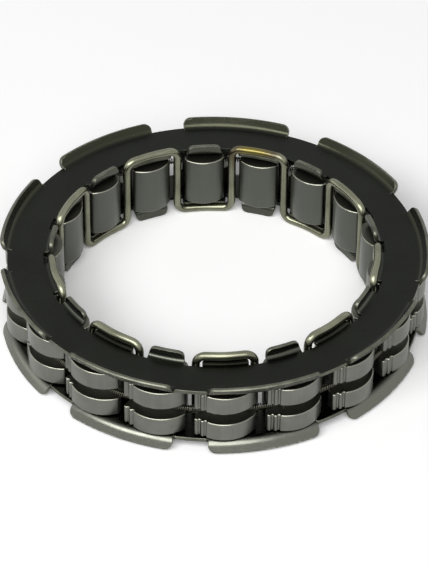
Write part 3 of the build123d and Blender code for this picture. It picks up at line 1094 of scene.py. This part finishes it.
class CLUTCH_OT_sprags(bpy.types.Operator):
    """Makes the eighteen sprags, each on its own body"""

    bl_idname = "clutch.sprags"
    bl_label = "Make sprags"

    def execute(self, context):
        sizes, colours = context.scene.clutch_sprags, context.scene.clutch_colours
        values = {
            "Count": sizes.count,
            "Steel": ground_steel(colours),
            "Rim steel": rim_painted_highlight(colours),
            "End steel": ends_in_painted_shade(colours),
        }
        tree = ring_tree()
        for i in range(sizes.count):
            name = f"sprag_{i + 1:02d}"
            base = sprag_mesh(sizes, name + "_base")
            mesh = run_tree(tree, base, {**values, "Number": i}, name + "_cam")
            attach(new_object(name + "_cam", mesh), name)
        return {"FINISHED"}


# Stage


def studio_spot(stage, turned, height, distance):
    """A place round the ring: an angle to the camera's right, a height angle and a distance."""
    angle = stage.camera_angle + turned
    flat = distance * math.cos(height)
    return Vector((flat * math.cos(angle), flat * math.sin(angle), distance * math.sin(height)))


def aim(thing, place, roll=0.0):
    """Stands a camera or lamp at a place, looking at the middle of the ring."""
    thing.location = place
    look = (-place).to_track_quat("-Z", "Y")
    thing.rotation_euler = (look.to_matrix() @ Matrix.Rotation(roll, 3, "Z")).to_euler()


def background_rays(tree):
    """Adds the nodes that tell the rays from camera, metal and glass from all others."""
    path = add(tree, "ShaderNodeLightPath").outputs
    chosen = path["Is Camera Ray"]
    for ray in ("Is Glossy Ray", "Is Transmission Ray"):
        chosen = add(tree, "ShaderNodeMath", {0: chosen, 1: path[ray]}, operation="MAXIMUM")
    return chosen


def white_paper(stage, colours):
    """Matt white paper. Nearly all of its light comes from the lamps on the camera's side,
    so that it shows white, and dark where the ring shades it. The glow lifts it to white
    for camera and metal and lights nothing."""
    made, tree = new_material("pale_floor")
    matt = add(tree, "ShaderNodeBsdfDiffuse", {"Color": to_linear(colours.paper)})
    inputs = {0: background_rays(tree), 1: stage.glow}
    strength = add(tree, "ShaderNodeMath", inputs, operation="MULTIPLY")
    glow = add(tree, "ShaderNodeEmission", {"Strength": strength})
    both = add(tree, "ShaderNodeAddShader", {0: matt, 1: glow})
    add(tree, "ShaderNodeOutputMaterial", {"Surface": both})
    return made


class CLUTCH_OT_stage(bpy.types.Operator):
    """Sets the camera, the floor, the world and the lamps"""

    bl_idname = "clutch.stage"
    bl_label = "Set stage"

    def execute(self, context):
        scene, stage = context.scene, context.scene.clutch_stage
        scene.view_settings.view_transform = "Standard"

        camera = new_object("camera", bpy.data.cameras.new("camera"))
        camera.data.sensor_fit = "VERTICAL"
        camera.data.sensor_height = 24
        camera.data.lens = stage.lens
        camera.data.shift_x, camera.data.shift_y = stage.shift_x, stage.shift_y
        camera.data.clip_start, camera.data.clip_end = 0.01, 20
        place = studio_spot(stage, 0, stage.camera_height, stage.camera_distance)
        aim(camera, place, stage.camera_roll)
        scene.camera = camera

        mesh = bpy.data.meshes.new("floor")
        reach = 2.0
        corners = [(-reach, -reach), (reach, -reach), (reach, reach), (-reach, reach)]
        mesh.from_pydata([(x, y, cad_low.z) for x, y in corners], [], [(0, 1, 2, 3)])
        mesh.materials.append(white_paper(stage, scene.clutch_colours))
        new_object("floor", mesh)

        world = bpy.data.worlds.new("studio")
        world.use_nodes = True
        scene.world = world
        tree = world.node_tree
        tree.nodes.clear()
        inputs = {"Value": background_rays(tree), "To Min": stage.sky, "To Max": 1.0}
        strength = add(tree, "ShaderNodeMapRange", inputs)
        sky = add(tree, "ShaderNodeBackground", {"Color": (1, 1, 1, 1), "Strength": strength})
        add(tree, "ShaderNodeOutputWorld", {"Surface": sky})

        # power, size in metres, degrees to the camera's right, degrees up and metres away
        for name, power, size, turned, height, distance in (
            ("front_lamp", stage.front, 1.3, -5, 48, 1.6),
            ("left_lamp", stage.left, 0.7, -50, 45, 1.6),
            ("side_lamp", stage.side, 0.6, -95, 12, 0.8),
        ):
            lamp = new_object(name, bpy.data.lights.new(name, "AREA"))
            lamp.data.shape = "DISK"
            lamp.data.size = size
            lamp.data.energy = power
            aim(lamp, studio_spot(stage, math.radians(turned), math.radians(height), distance))
        return {"FINISHED"}


class CLUTCH_PT_panel(bpy.types.Panel):
    """Lists the steps and the sizes of the clutch"""

    bl_idname = "CLUTCH_PT_panel"
    bl_label = "One-way clutch bearing"
    bl_space_type = "VIEW_3D"
    bl_region_type = "UI"
    bl_category = "Clutch"

    def draw(self, context):
        for operator in OPERATORS:
            self.layout.operator(operator.bl_idname)
        for label, (owner, group) in GROUPS.items():
            box = self.layout.box()
            box.label(text=label)
            for name in group.__annotations__:
                box.prop(getattr(context.scene, owner), name)


OPERATORS = (
    CLUTCH_OT_plates,
    CLUTCH_OT_wire,
    CLUTCH_OT_spring,
    CLUTCH_OT_sprags,
    CLUTCH_OT_stage,
)
GROUPS = {
    "Plates": ("clutch_plates", ClutchPlateSizes),
    "Wire": ("clutch_wire", ClutchWireSizes),
    "Spring": ("clutch_spring", ClutchSpringSizes),
    "Sprags": ("clutch_sprags", ClutchSpragSizes),
    "Colours": ("clutch_colours", ClutchColours),
    "Stage": ("clutch_stage", ClutchStage),
}


def register():
    for name, group in GROUPS.values():
        bpy.utils.register_class(group)
        setattr(bpy.types.Scene, name, bpy.props.PointerProperty(type=group))
    for operator in OPERATORS:
        bpy.utils.register_class(operator)
    bpy.utils.register_class(CLUTCH_PT_panel)


def unregister():
    bpy.utils.unregister_class(CLUTCH_PT_panel)
    for operator in OPERATORS:
        bpy.utils.unregister_class(operator)
    for name, group in GROUPS.values():
        delattr(bpy.types.Scene, name)
        bpy.utils.unregister_class(group)


def main():
    register()
    bpy.ops.clutch.plates()
    bpy.ops.clutch.wire()
    bpy.ops.clutch.spring()
    bpy.ops.clutch.sprags()
    bpy.ops.clutch.stage()


if __name__ == "__main__":
    main()
